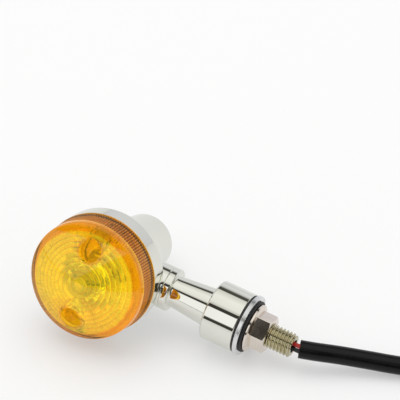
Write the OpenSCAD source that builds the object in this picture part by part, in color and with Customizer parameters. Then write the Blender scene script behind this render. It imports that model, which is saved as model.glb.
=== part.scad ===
// Bullet turn signal indicator with a swivelling stem, a hollow stud and its lead.
// The lamp lies on a table on its back edge, its tail and its mounting washer.
// Two frames are used. The lamp frame has its origin in the middle of the lens seam,
// +Z out through the lens and +X along the stem. lie() turns that frame as the lamp
// lies on the table, which is the frame of the whole part.

/* [Housing] */
// Outer radius of the bowl behind the lens
bowl_r = 25; // [23:0.5:31]
// Length of the straight rim of the bowl
bowl_l = 8.6; // [7.5:0.1:10.5]
// Length of the cone from the bowl down to the neck
cone_l = 9.4; // [8:0.1:12]
// Outer radius of the neck where it meets the cone
neck_r = 16; // [15:0.5:18]
// Outer radius of the tail end
tail_r = 12; // [11:0.25:15]
// Distance from the lens seam to the tail edge
tail_z = 45.5; // [43:0.5:56]
// Length and depth of the chamfer round the tail
tail_chamfer = 1.7; // [1:0.1:2]
// Wall thickness of the casting
housing_wall = 1.8; // [1.2:0.1:2.2]

/* [Lens] */
// Depth of the ribbed side of the lens
lens_depth = 12; // [10:0.5:15]
// How much smaller the front edge of the lens is, in radius
lens_draft = 0.6; // [0.2:0.1:1]
// Height of the domed face over its edge
dome_h = 7.6; // [6:0.1:9]
// Wall thickness of the lens
lens_wall = 2.2; // [1.6:0.1:2.4]
// Inner radius of a screw well
well_r = 4.6; // [4:0.1:5]

/* [Bulb] */
// Radius of the bulb's glass
glass_r = 8.4; // [7:0.1:9]
// Radius of the bulb's brass base
base_r = 7.4; // [6:0.1:8.2]
// Length of the bulb's brass base
base_l = 13; // [11:0.5:13.5]

/* [Stem] */
// Distance of the stem axis behind the lens seam
stem_z = 14.35; // [13.5:0.05:16]
// Radius of the boss and of the stem's flange
flange_r = 9; // [8.6:0.1:9.4]
// Thickness of the stem's flange
flange_t = 3; // [2:0.5:3.5]
// Radius of the stem next to its flange
stem_r = 6.5; // [6:0.1:8]
// Radius of the stem where it enters the collar
stem_end_r = 8.2; // [7:0.1:10]
// Length of the tapered stem between flange and collar
stem_l = 17.8; // [12:0.1:30]
// Radius of the collar
collar_r = 12.5; // [10.5:0.1:15]
// Length of the collar
collar_l = 14.35; // [13:0.05:18]

/* [Stud and nut] */
// Outer radius of the metric stud
stud_r = 5; // [4.8:0.05:5.2]
// Length of stud that stands out of the collar
stud_l = 22.2; // [20:0.1:30]
// Radius of the rubber washer on the collar
rubber_r = 12.3; // [10.5:0.1:14]
// Radius of the rubber washer under the nut
outer_rubber_r = 11; // [10.5:0.1:12.5]
// Thickness of each rubber washer
rubber_t = 0.95; // [0.5:0.05:1.2]
// Radius of the steel washer
washer_r = 12.8; // [11:0.1:15]
// Thickness of the steel washer
washer_t = 1.8; // [1:0.1:2]
// Width across the flats of the nut
nut_af = 14; // [13:0.5:16]
// Height of the hexagon of the nut
nut_hex_h = 6; // [5:0.1:6.5]
// Radius of the nut's flange
nut_flange_r = 10; // [9:0.1:11]
// Thickness of the nut's flange
nut_flange_t = 2; // [1.5:0.1:2.2]

/* [Lead] */
// Outer diameter of the sleeve round the two wires
sleeve_d = 7.5; // [6.5:0.5:7.5]
// Outer diameter of each wire
wire_d = 1.8; // [1.4:0.1:2]
// Bare wire between the stud and the sleeve
wire_gap = 2; // [1:0.5:3]

/* [Hidden] */
$fn = 96;

// Clearances
running = 0.05;     // radial, between parts that turn on each other
seat_gap = 0.02;    // radial, between parts pushed into each other

// Housing
gasket_w = 1.5;                              // fills the rebate behind the lens
gasket_t = 1;
cone_z = bowl_l + cone_l;
boss_end = bowl_r + 0.5;                     // the boss just clears the bowl's rim
post_r = 3;
plate_z = 2.2;                               // seat of the reflector on its posts
reflector_t = 1;
spotface_r = 7.6;

// Lens
lens_front_r = bowl_r - lens_draft;          // radius of its front edge
dome_r = (pow(lens_front_r, 2) + pow(dome_h, 2)) / (2 * dome_h);
dome_z = lens_depth + dome_h - dome_r;       // centre of the dome's sphere
well_wall = 1;
well_floor = 2.2;
well_gap = 1.2;                              // between a well and the bulb's glass
screw_off = glass_r + well_gap + well_r + well_wall;   // from the lens axis
screw_r = 1.5;
screw_head_r = 2.9;
screw_head_h = 2;
screw_tip = 12;
slot_w = 0.8;

// Bulb and socket, along the lamp axis
base_z = 7;                                  // where glass and base meet
glass_z = 1.6;                               // centre of the glass ball
glass_t = 0.6;
contact_h = 1;
contact_end = base_z + base_l + contact_h;
pin_r = 0.9;
pin_out = 1.4;
socket_ir = base_r + 0.15;
socket_wall = 0.75;
socket_r = socket_ir + socket_wall;
cup_hole = base_r + pin_out + 0.3;           // the pins pass through it
cup_low = cup_hole + 0.9;
cup_top = screw_off - post_r - 0.5;
socket_flange_r = cup_low + 0.6;
socket_flange_t = 0.8;
socket_top = 7.7;
socket_floor_t = 1;
socket_end = contact_end + 9.4;
insulator_t = 1.5;
spring_coils = 4;
spring_r = 4;
spring_wire_r = 0.5;

// Stem, along the stem axis from the lamp axis
flange_x = boss_end;
taper_x = flange_x + flange_t;
collar_x = taper_x + stem_l;
seat_x = collar_x + collar_l;                // face the rubber washer sits on
spigot_r = 4.5;
spring_washer_t = 0.8;
swivel_nut_t = 3;
swivel_nut_af = 12;
spigot_x = socket_r + wire_d + 0.9;          // the wires pass between it and the socket
nut_seat_x = spigot_x + swivel_nut_t + spring_washer_t;
stem_bore_r = wire_d + 0.8;
stud_bore_r = wire_d + 1;
stud_in = collar_l - 2.35;                   // depth of the stud in the collar
steel_x = seat_x + rubber_t;
outer_x = steel_x + washer_t;
nut_x = outer_x + rubber_t;
stud_end = seat_x + stud_l;
sleeve_x = stud_end + wire_gap;
washer_gap = 0.3;                            // radial, washers round the stud
wire_r = wire_d / 2;
wire_side = wire_r + 0.15;                   // each wire's distance from the axis
sleeve_r = sleeve_d / 2;

// How the lamp lies: its axis leans back by tip_angle until bowl and tail touch
// the table, then the stem dips until its collar or a washer touches it too.
tip_angle = atan((bowl_r - tail_r) / (tail_z - bowl_l));
rest_h = bowl_r * cos(tip_angle) + bowl_l * sin(tip_angle);
stem_h = rest_h - stem_z * sin(tip_angle);
// The dip at which a round edge of radius r, x along the stem, touches the table
function touch_dip(x, r) =
    asin((x * stem_h - r * sqrt(x * x + r * r - stem_h * stem_h)) / (x * x + r * r));
dip = min(touch_dip(seat_x, collar_r), touch_dip(outer_x, washer_r),
    touch_dip(nut_x, outer_rubber_r));
roll = acos(sin(tip_angle) / cos(dip));

// Directions of the lamp axis and of the stem axis as the lamp lies
lamp_dir = [sin(dip) * cos(roll), -sin(roll), cos(dip) * cos(roll)];
stem_dir = [cos(dip), 0, -sin(dip)];
side_dir = cross(lamp_dir, stem_dir);

// The box of the lamp without its lead gives the origin: under its middle
function ring_reach(axis_dir, k, r) = r * sqrt(1 - pow(axis_dir[k], 2));
low_x = -bowl_l * lamp_dir[0] - ring_reach(lamp_dir, 0, bowl_r);
high_x = (sleeve_x * stem_dir - stem_z * lamp_dir)[0]
    + ring_reach(stem_dir, 0, wire_r) + wire_side * side_dir[0];
low_y = dome_z * lamp_dir[1] - dome_r;
tail_end = tail_z + tail_chamfer;
tail_end_r = tail_r - tail_chamfer / 2;
high_y = -tail_end * lamp_dir[1] + ring_reach(lamp_dir, 1, tail_end_r);
rest_shift = [-(low_x + high_x) / 2, -(low_y + high_y) / 2, rest_h];

// Lead. The route is in the frame of the table, from the stud to the coil.
// The sleeve turns aside where the wires enter it: its first points from its start
lead_out = [[5.4, 2.08, -0.73], [10.2, 4.25, -1.43]];
lead_turn = atan2(lead_out[0][1], lead_out[0][0]);
wires_aside = wire_r + wire_side * side_dir[1];      // their reach towards that side
sleeve_start = rest_shift - stem_z * lamp_dir
    + (sleeve_x + wires_aside * tan(lead_turn) + running) * stem_dir;
sleeve_lie = sleeve_r + 0.05;                // height of its middle on the table
// Each point: x, y and the height above a sleeve that lies flat
lead_run = [[68.9, 6.1, 3.6], [73.4, 8.0, 2.9], [77.9, 9.8, 2.25], [82.5, 11.6, 1.6],
    [87.2, 13.3, 1.0], [91.9, 15.0, 0.55], [96.6, 16.6, 0.2], [101.4, 18.1, 0.05],
    [106.3, 19.4, 0], [113.4, 21.2, 0], [120.6, 23.0, 0], [127.8, 24.6, 0],
    [135.0, 26.1, 0], [142.2, 27.5, 0], [149.2, 28.8, 0]];
lead_route = concat([sleeve_start], [for (point = lead_out) sleeve_start + point],
    [for (point = lead_run) point + [0, 0, sleeve_lie]]);
coil_centre = [157, -13, 0];
coil_mid_r = 37.5;
coil_spread = 5;                             // how far the turns lie from the middle
// The two wires beyond the sleeve, from the inner end of the coil
red_route = [[188.9, -6.1, 3.8], [189.8, -11.0, 3.5], [189.0, -16.0, 2.6],
    [185.9, -19.5, 1.8], [181.7, -21.8, 1.3], [176.9, -22.8, 1.7], [172.1, -22.4, 2.4],
    [167.3, -21.4, 2.4]];
black_route = [[190.8, -5.7, 3.8], [192.0, -11.1, 3.4], [191.9, -16.8, 2.4],
    [189.7, -22.2, 1.6], [186.2, -26.5, 1.3], [181.8, -29.2, 1.7], [176.7, -29.8, 2.4],
    [171.8, -29.5, 2.4]];
boot_r = 2.3;
boot_l = 9;
bullet_r = 1.95;
bullet_l = 11;

// ---- helpers ----

module lie() {
    translate(rest_shift) rotate([0, dip, 0]) rotate([roll, 0, 0]) children();
}

// Turns a shape drawn along +Z so that it runs along the stem axis
module along_stem(x = 0) {
    translate([x, 0, -stem_z]) rotate([0, 90, 0]) children();
}

module ring(outer, inner, height) {
    difference() {
        cylinder(r = outer, h = height);
        translate([0, 0, -1]) cylinder(r = inner, h = height + 2);
    }
}

module at_screws() {
    for (side = [-1, 1]) translate([0, side * screw_off, 0]) children();
}

function unit(v) = v / norm(v);
function heading(points, i) = unit(
    points[min(i + 1, len(points) - 1)] - points[max(i - 1, 0)]);

// A closed tube swept along points. side_of is a direction never along the route.
module swept_tube(points, r, sides, side_of) {
    count = len(points);
    rings = [for (i = [0 : count - 1])
        let (t = heading(points, i), u = unit(cross(side_of, t)), v = cross(t, u))
        for (k = [0 : sides - 1])
            points[i] + r * (cos(360 * k / sides) * u + sin(360 * k / sides) * v)];
    walls = [for (i = [0 : count - 2], k = [0 : sides - 1])
        let (a = i * sides + k, b = i * sides + (k + 1) % sides)
        each [[a, a + sides, b], [b, a + sides, b + sides]]];
    caps = [[for (k = [0 : sides - 1]) k],
        [for (k = [sides - 1 : -1 : 0]) (count - 1) * sides + k]];
    polyhedron(points = rings, faces = concat(walls, caps), convexity = 6);
}

// ---- lamp head ----

module housing_outside() {
    rotate_extrude() polygon([[0, 0], [bowl_r, 0], [bowl_r, -bowl_l], [neck_r, -cone_z],
        [tail_r, -tail_z], [tail_end_r, -tail_end], [0, -tail_end]]);
    along_stem() cylinder(r = flange_r, h = boss_end);
}

module housing_cavity() {
    rotate_extrude() polygon([[0, 1], [bowl_r - housing_wall - gasket_w, 1],
        [bowl_r - housing_wall - gasket_w, -bowl_l], [neck_r - housing_wall, -cone_z],
        [tail_r - housing_wall, -tail_z + 2], [0, -tail_z + 2]]);
}

module housing() {
    color("gainsboro") lie() difference() {
        union() {
            difference() {
                housing_outside();
                housing_cavity();
            }
            intersection() {
                housing_outside();
                union() {
                    at_screws() translate([0, 0, -cone_z + 1])
                        cylinder(r = post_r, h = cone_z - 1 - plate_z);
                    along_stem(nut_seat_x) cylinder(r = flange_r - 1, h = boss_end);
                }
            }
        }
        translate([0, 0, -gasket_t]) cylinder(r = bowl_r - housing_wall, h = 2);
        along_stem(spigot_x - 2) cylinder(r = spotface_r, h = nut_seat_x - spigot_x + 2);
        along_stem(spigot_x) cylinder(r = spigot_r + running, h = boss_end);
        at_screws() translate([0, 0, -screw_tip - 0.5])
            cylinder(r = screw_r + seat_gap, h = screw_tip);
    }
}

module lens_gasket() {
    color("dimgray") lie() translate([0, 0, -gasket_t])
        ring(bowl_r - housing_wall - seat_gap, bowl_r - housing_wall - gasket_w, gasket_t);
}

module lens_solid(inset) {
    intersection() {
        translate([0, 0, dome_z]) sphere(r = dome_r - inset, $fn = 180);
        cylinder(r1 = bowl_r - inset, r2 = bowl_r - inset - lens_draft * 2,
            h = lens_depth * 2);
    }
}

module lens() {
    well_low = -plate_z + reflector_t;       // the wells clamp the reflector's plate
    color("orange", 0.8) lie() difference() {
        union() {
            difference() {
                lens_solid(0);
                translate([0, 0, -0.01]) lens_solid(lens_wall);
            }
            intersection() {
                at_screws() translate([0, 0, well_low])
                    cylinder(r = well_r + well_wall, h = lens_depth + dome_h - well_low);
                union() {
                    lens_solid(0);
                    translate([0, 0, well_low])
                        cylinder(r = bowl_r - lens_wall - 1, h = lens_depth);
                }
            }
        }
        at_screws() translate([0, 0, well_low + well_floor])
            cylinder(r = well_r, h = lens_depth + dome_h);
        at_screws() translate([0, 0, well_low - 1]) cylinder(r = screw_r + 0.3, h = lens_depth);
    }
}

module lens_screws() {
    head_z = -plate_z + reflector_t + well_floor;
    color("silver") lie() at_screws() difference() {
        union() {
            translate([0, 0, head_z]) cylinder(r = screw_head_r, h = screw_head_h);
            translate([0, 0, -screw_tip]) cylinder(r = screw_r, h = screw_tip + head_z);
        }
        for (turn = [0, 90]) rotate(turn)
            translate([-screw_head_r * 0.6, -slot_w / 2, head_z + screw_head_h / 2])
                cube([screw_head_r * 1.2, slot_w, screw_head_h]);
    }
}

module reflector() {
    plate_r = bowl_r - housing_wall - gasket_w - 0.3;
    color("whitesmoke") lie() difference() {
        rotate_extrude() polygon([[cup_top, -plate_z + reflector_t], [plate_r,
            -plate_z + reflector_t], [plate_r, -plate_z], [cup_top, -plate_z],
            [cup_low, -socket_top], [cup_hole, -socket_top],
            [cup_hole, -socket_top + reflector_t], [cup_low - 0.8, -socket_top + reflector_t]]);
        at_screws() translate([0, 0, -plate_z - 1])
            cylinder(r = screw_r + 0.3, h = reflector_t + 2);
    }
}

// ---- bulb and socket ----

module glass_outline(inset) {
    rotate_extrude() intersection() {
        union() {
            translate([0, glass_z]) circle(r = glass_r - inset);
            translate([-base_r, -base_z]) square([base_r * 2 - 1 - inset, base_z]);
        }
        translate([0, -base_z]) square([glass_r + 1, base_z + glass_z + glass_r]);
    }
}

module bulb_glass() {
    color("lightyellow", 0.5) lie() difference() {
        glass_outline(0);
        translate([0, 0, -0.01]) glass_outline(glass_t);
    }
}

module bulb_filament() {
    post_h = 6;
    color("gray") lie() {
        for (side = [-1, 1]) translate([side * 2.4, 0, -base_z]) cylinder(r = 0.35, h = post_h);
        translate([0, 0, -base_z + post_h]) rotate([90, 0, 0])
            rotate_extrude(angle = 180) translate([2.4, 0]) circle(r = 0.35, $fn = 24);
    }
}

module bulb_base() {
    color("goldenrod") lie() {
        translate([0, 0, -base_z - base_l]) cylinder(r = base_r, h = base_l);
        translate([0, 0, -contact_end]) cylinder(r = 2, h = contact_h);
        rotate([90, 0, 0]) translate([0, -base_z - base_l + 5, -base_r - pin_out])
            cylinder(r = pin_r, h = 2 * (base_r + pin_out), $fn = 32);
    }
}

module socket_shell() {
    pin_slot_w = 2 * (pin_r + 0.2);
    slot_end = base_z + base_l - 5 + pin_r + 0.4;
    color("silver") lie() difference() {
        union() {
            translate([0, 0, -socket_end]) cylinder(r = socket_r, h = socket_end - socket_top);
            translate([0, 0, -socket_top - socket_flange_t])
                cylinder(r = socket_flange_r, h = socket_flange_t);
        }
        translate([0, 0, -socket_end + socket_floor_t])
            cylinder(r = socket_ir, h = socket_end);
        translate([0, 0, -socket_end - 1]) cylinder(r = 2.4, h = 3);
        translate([-pin_slot_w / 2, -base_r - pin_out - 0.3, -slot_end])
            cube([pin_slot_w, 2 * (base_r + pin_out + 0.3), slot_end]);
    }
}

module socket_insulator() {
    color("saddlebrown") lie() translate([0, 0, -contact_end - contact_h - insulator_t])
        cylinder(r = socket_ir - 0.2, h = insulator_t);
}

module centre_contact() {
    color("gold") lie() translate([0, 0, -contact_end - contact_h])
        cylinder(r = 2.6, h = contact_h);
}

module contact_spring() {
    top = contact_end + contact_h + insulator_t + spring_wire_r;
    low = socket_end - socket_floor_t - spring_wire_r;
    steps = 12 * spring_coils;
    points = [for (i = [0 : steps])
        [spring_r * cos(30 * i), spring_r * sin(30 * i), -top - (low - top) * i / steps]];
    color("silver") lie() swept_tube(points, spring_wire_r, 8, [0, 0, 1]);
}

// The wires leave the hollow spigot, turn down beside the socket and go to its back
module head_wire_red() {
    side = wire_side;
    out = socket_r + wire_r + 0.35;
    back = -socket_end - 3.4;                // height of the run across the back
    route = [[spigot_x - running, side, -stem_z], [spigot_x - 0.4, side, -stem_z],
        [out + 0.4, side, -stem_z - 0.5], [out, side, -stem_z - 1.4],
        [out, side, -stem_z - 4], [out, side, -24], [out, side, back + 3.2],
        [out - 1, side, back + 1.2], [out - 3, side * 0.6, back], [3, 0, back],
        [1, 0, back + 0.8], [0, 0, back + 2.4], [0, 0, -socket_end]];
    color("red") lie() swept_tube(route, wire_r, 8, [0, 1, 0]);
}

module head_wire_black() {
    side = -wire_side;
    out = socket_r + wire_r + 0.35;
    route = [[spigot_x - running, side, -stem_z], [spigot_x - 0.4, side, -stem_z],
        [out + 0.4, side, -stem_z - 0.5], [out, side, -stem_z - 1.4],
        [out, side, -stem_z - 4], [out, side, -22], [out, side, -socket_end + 3]];
    color("black") lie() swept_tube(route, wire_r, 8, [0, 1, 0]);
}

// ---- stem, stud and fasteners ----

module stem() {
    edge = 0.8;
    color("gainsboro") lie() along_stem() difference() {
        rotate_extrude() polygon([[0, spigot_x], [spigot_r, spigot_x], [spigot_r, flange_x],
            [flange_r, flange_x], [flange_r, taper_x], [stem_r, taper_x],
            [stem_end_r, collar_x], [collar_r - edge, collar_x], [collar_r, collar_x + edge],
            [collar_r, seat_x], [0, seat_x]]);
        translate([0, 0, spigot_x - 1]) cylinder(r = stem_bore_r, h = seat_x);
        translate([0, 0, seat_x - stud_in]) cylinder(r = stud_r + seat_gap, h = stud_in + 1);
    }
}

module swivel_spring_washer() {
    color("silver") lie() along_stem(nut_seat_x - spring_washer_t)
        ring(spotface_r - 0.4, spigot_r + seat_gap, spring_washer_t);
}

module hexagon(af, height) {
    cylinder(r = af / 2 / cos(30), h = height, $fn = 6);
}

module swivel_nut() {
    color("silver") lie() along_stem(spigot_x) difference() {
        hexagon(swivel_nut_af, swivel_nut_t);
        translate([0, 0, -1]) cylinder(r = spigot_r + seat_gap, h = swivel_nut_t + 2);
    }
}

module stud() {
    chamfer = 0.6;
    color("khaki") lie() along_stem() difference() {
        union() {
            translate([0, 0, seat_x - stud_in])
                cylinder(r = stud_r, h = stud_l + stud_in - chamfer);
            translate([0, 0, stud_end - chamfer])
                cylinder(r1 = stud_r, r2 = stud_r - chamfer, h = chamfer);
        }
        translate([0, 0, seat_x - stud_in - 1]) cylinder(r = stud_bore_r, h = stud_l * 3);
    }
}

module inner_rubber_washer() {
    color("black") lie() along_stem(seat_x) ring(rubber_r, stud_r + washer_gap, rubber_t);
}

module steel_washer() {
    color("lightgray") lie() along_stem(steel_x) ring(washer_r, stud_r + washer_gap, washer_t);
}

module outer_rubber_washer() {
    color("black") lie() along_stem(outer_x)
        ring(outer_rubber_r, stud_r + washer_gap, rubber_t);
}

module flange_nut() {
    color("rosybrown") lie() along_stem(nut_x) difference() {
        union() {
            cylinder(r = nut_flange_r, h = nut_flange_t);
            translate([0, 0, nut_flange_t]) hexagon(nut_af, nut_hex_h);
        }
        translate([0, 0, -1]) cylinder(r = stud_r + running, h = nut_flange_t + nut_hex_h + 2);
    }
}

// ---- lead ----

module stem_wire(side) {
    lie() along_stem(spigot_x) translate([0, side * wire_side, 0])
        cylinder(r = wire_r, h = sleeve_x - spigot_x, $fn = 32);
}

module stem_wire_red() { color("red") stem_wire(1); }

module stem_wire_black() { color("black") stem_wire(-1); }

module cable_sleeve() {
    color("#181818") swept_tube(lead_route, sleeve_r, 10, [0, 0, 1]);
}

module cable_coil() {
    outer = coil_mid_r + coil_spread + sleeve_r;
    inner = coil_mid_r - coil_spread - sleeve_r;
    color("#181818") translate(coil_centre) translate([0, 0, sleeve_lie - sleeve_r])
        ring(outer, inner, sleeve_d);
}

module tail_wire_red() { color("red") swept_tube(red_route, wire_r, 8, [0, 0, 1]); }

module tail_wire_black() { color("black") swept_tube(black_route, wire_r, 8, [0, 0, 1]); }

// Places a piece drawn along +Z at the end of a wire, lying on the table
module at_wire_end(route) {
    last = route[len(route) - 1];
    way = last - route[len(route) - 2];
    translate(last) rotate([0, 90, atan2(way[1], way[0])]) children();
}

module terminal_sleeves() {
    color("#303030") for (route = [red_route, black_route])
        at_wire_end(route) cylinder(r = boot_r, h = boot_l);
}

module bullet_terminals() {
    color("gold") for (route = [red_route, black_route]) at_wire_end(route)
        translate([0, 0, boot_l]) {
            cylinder(r = bullet_r, h = bullet_l - bullet_r);
            translate([0, 0, bullet_l - bullet_r]) sphere(r = bullet_r, $fn = 48);
        }
}

housing();
lens_gasket();
lens();
lens_screws();
reflector();
bulb_glass();
bulb_filament();
bulb_base();
socket_shell();
socket_insulator();
centre_contact();
contact_spring();
head_wire_red();
head_wire_black();
stem();
swivel_spring_washer();
swivel_nut();
stud();
inner_rubber_washer();
steel_washer();
outer_rubber_washer();
flange_nut();
stem_wire_red();
stem_wire_black();
cable_sleeve();
cable_coil();
tail_wire_red();
tail_wire_black();
bullet_terminals();
terminal_sleeves();
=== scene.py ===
# Bullet turn signal for a motorcycle: a chrome lamp head on a swivelling stem, with a
# domed amber lens, a hollow threaded stud, its washers and nut, and a sleeved lead.
# It lies on a table on the back edge of its bowl, its tail and its steel washer.
import math

import bmesh
import bpy
from mathutils import Matrix, Vector
from mathutils.geometry import interpolate_bezier


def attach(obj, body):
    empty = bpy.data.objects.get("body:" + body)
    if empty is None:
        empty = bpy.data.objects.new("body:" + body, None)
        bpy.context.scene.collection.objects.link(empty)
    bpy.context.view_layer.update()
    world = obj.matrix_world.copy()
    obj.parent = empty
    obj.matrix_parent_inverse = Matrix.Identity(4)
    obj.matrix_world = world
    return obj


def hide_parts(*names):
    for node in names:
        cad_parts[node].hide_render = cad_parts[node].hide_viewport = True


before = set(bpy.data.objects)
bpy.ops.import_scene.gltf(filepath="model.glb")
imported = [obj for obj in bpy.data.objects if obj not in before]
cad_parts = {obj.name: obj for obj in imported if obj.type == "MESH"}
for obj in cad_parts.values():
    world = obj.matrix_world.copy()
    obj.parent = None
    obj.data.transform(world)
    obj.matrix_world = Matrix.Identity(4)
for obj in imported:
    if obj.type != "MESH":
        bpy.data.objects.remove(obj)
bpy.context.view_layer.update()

# Camera
# A long lens looks down at the lamp from its front right side. The lamp frame has its
# origin in the middle of the seam between lens and bowl, +Z out through the lens and
# +X along the stem, and it leans and dips as the lamp lies on the table.
MM = 0.001
lean = math.radians(70.3858918)
dip = math.radians(8.1595888)
seam_middle = Vector((-29.09705502, -13.62406315, 26.43712664)) * MM
lamp_frame = (Matrix.Translation(seam_middle) @ Matrix.Rotation(dip, 4, "Y")
              @ Matrix.Rotation(lean, 4, "X") @ Matrix.Scale(MM, 4))

camera_data = bpy.data.cameras.new("camera")
camera_data.sensor_width = 36.0
camera_data.lens = 201.1
camera_data.clip_start = 0.01
camera_data.clip_end = 20.0
camera = bpy.data.objects.new("camera", camera_data)
bpy.context.scene.collection.objects.link(camera)
camera_turn, camera_rise = math.radians(27.9), math.radians(37.7)
seam_to_camera = Vector((0.3610, -0.5944, 0.5735))
camera.location = seam_middle + seam_to_camera
camera.rotation_euler = Vector((
    -math.sin(camera_turn) * math.cos(camera_rise),
    math.cos(camera_turn) * math.cos(camera_rise),
    -math.sin(camera_rise))).to_track_quat("-Z", "Y").to_euler()
bpy.context.scene.camera = camera

# Lead
# A black PVC sleeve of 7.5 mm slides loosely over the two wires. It starts just behind
# the stud, sinks to the table and is wound into one and a quarter turns for storage.
sleeve_radius = 3.75
sleeve_bore = 3.0
sleeve_mouth = 6.0          # how deep the open ends are modelled
sleeve_rounding = 0.15      # of the edges of its ends
rest_height = 3.8           # of the sleeve's middle on the table
sleeve_start = lamp_frame @ Vector((85.3826, 0, -14.35)) / MM
out_points = [(5.4, 2.08, -0.73), (10.2, 4.25, -1.43)]       # from its start
run_points = [(68.9, 6.1, 7.4), (73.4, 8.0, 6.7), (77.9, 9.8, 6.05), (82.5, 11.6, 5.4),
              (87.2, 13.3, 4.8), (91.9, 15.0, 4.35), (96.6, 16.6, 4.0),
              (101.4, 18.1, 3.85), (106.3, 19.4, 3.8), (113.4, 21.2, 3.8),
              (120.6, 23.0, 3.8), (127.8, 24.6, 3.8), (135.0, 26.1, 3.8),
              (142.2, 27.5, 3.8)]
coil_middle = Vector((157, -13, rest_height))
coil_from, coil_sweep = math.radians(100.57), math.radians(-448.4)
coil_outer_r, coil_inner_r = 42.52, 33.45
coil_ease = 0.25            # the ends of the coil run along its circles
coil_steps = 75
sleeve_spacing = 2.6        # between the points of its middle line
smooth_up_to = math.radians(40)


def coil_point(share):
    """A point of the sleeve's middle, share of the way along the coil."""
    angle = coil_from + coil_sweep * share
    eased = share - coil_ease * math.sin(2 * math.pi * share) / (2 * math.pi)
    r = coil_outer_r + (coil_inner_r - coil_outer_r) * eased
    return coil_middle + Vector((r * math.cos(angle), r * math.sin(angle), 0))


def smooth_line(points, spacing):
    """Points a spacing apart along a smooth curve through the given points."""
    points = [Vector(p) for p in points]
    line = []
    for i in range(len(points) - 1):
        before = points[max(i - 1, 0)]
        start, end = points[i], points[i + 1]
        after = points[min(i + 2, len(points) - 1)]
        steps = max(1, round((end - start).length / spacing))
        line += interpolate_bezier(start, start + (end - before) / 6,
                                   end - (after - start) / 6, end, steps + 1)[:-1]
    return line + [points[-1]]


def line_length(line):
    return sum((b - a).length for a, b in zip(line, line[1:]))


def new_piece(name, mesh, body, slot, *nodes):
    """A piece in the scene that rides on a body and stands for CAD nodes."""
    piece = bpy.data.objects.new(name, mesh)
    bpy.context.scene.collection.objects.link(piece)
    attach(piece, body)
    if nodes:
        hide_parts(*nodes)
    return piece


def tube_mesh(name, line, outline, around):
    """A tube along a line in millimetres. The outline is a list of (distance in from
    the end, radius) for each end, from the middle of the mouth out to the full tube."""
    line = [Vector(p) for p in line]
    along = [(line[min(i + 1, len(line) - 1)] - line[max(i - 1, 0)]).normalized()
             for i in range(len(line))]
    side = along[0].cross(Vector((0, 0, 1))).normalized()
    sides = []
    for way in along:
        side = (side - way * side.dot(way)).normalized()
        sides.append(side)
    full = outline[-1][1]
    rings = [(line[0] + along[0] * inward, along[0], sides[0], r)
             for inward, r in outline[:-1]]
    rings += [(p, w, s, full) for p, w, s in zip(line, along, sides)][1:-1]
    rings += [(line[-1] - along[-1] * inward, along[-1], sides[-1], r)
              for inward, r in reversed(outline[:-1])]
    form = bmesh.new()
    loops, tips = [], []
    for point, way, side, r in rings:
        if r == 0:
            tips.append(form.verts.new(point * MM))
            continue
        up = way.cross(side)
        loops.append([form.verts.new((point + r * (
            math.cos(2 * math.pi * k / around) * side
            + math.sin(2 * math.pi * k / around) * up)) * MM) for k in range(around)])
    for a, b in zip(loops, loops[1:]):
        for k in range(around):
            form.faces.new((a[k], a[(k + 1) % around], b[(k + 1) % around], b[k]))
    for tip, loop in zip(tips, (loops[0], loops[-1])):
        for k in range(around):
            form.faces.new((tip, loop[k], loop[(k + 1) % around]))
    bmesh.ops.recalc_face_normals(form, faces=form.faces)
    mesh = bpy.data.meshes.new(name)
    form.to_mesh(mesh)
    form.free()
    mesh.shade_smooth()
    mesh.set_sharp_from_angle(angle=smooth_up_to)
    return mesh


sleeve_line = smooth_line(
    [sleeve_start] + [sleeve_start + Vector(p) for p in out_points] + run_points
    + [coil_point(0)], sleeve_spacing)
sleeve_line += [coil_point(i / coil_steps) for i in range(1, coil_steps + 1)]
open_end = [(sleeve_mouth, 0), (sleeve_mouth, sleeve_bore), (sleeve_rounding, sleeve_bore),
            (0, sleeve_bore + sleeve_rounding), (0, sleeve_radius - sleeve_rounding),
            (sleeve_rounding, sleeve_radius), (0, sleeve_radius)]


def step(tree, kind, inputs, **settings):
    """A node in a tree, with its settings, and its inputs set or linked."""
    made = tree.nodes.new(kind)
    for name, value in settings.items():
        setattr(made, name, value)
    for key, value in inputs.items():
        value = getattr(value, "socket", value)
        if isinstance(value, bpy.types.NodeSocket):
            tree.links.new(value, made.inputs[key])
        else:
            made.inputs[key].default_value = value
    return made


def new_group(name, kind, takes, gives):
    """A node group with named inputs and outputs: (name, type, default) and (name, type)."""
    tree = bpy.data.node_groups.new(name, kind)
    for label, socket, default in takes:
        made = tree.interface.new_socket(label, in_out="INPUT", socket_type=socket)
        if default is not None:
            made.default_value = default
    for label, socket in gives:
        tree.interface.new_socket(label, in_out="OUTPUT", socket_type=socket)
    return tree, tree.nodes.new("NodeGroupInput"), tree.nodes.new("NodeGroupOutput")


def blended(tree, share, first, second):
    """The colour between two; each is three numbers or a socket."""
    mix = tree.nodes.new("ShaderNodeMix")
    mix.data_type = "RGBA"
    tree.links.new(share, mix.inputs[0])
    for slot, shade in ((6, first), (7, second)):
        if isinstance(shade, bpy.types.NodeSocket):
            tree.links.new(shade, mix.inputs[slot])
        else:
            mix.inputs[slot].default_value = (*shade, 1)
    return mix.outputs[2]


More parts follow.
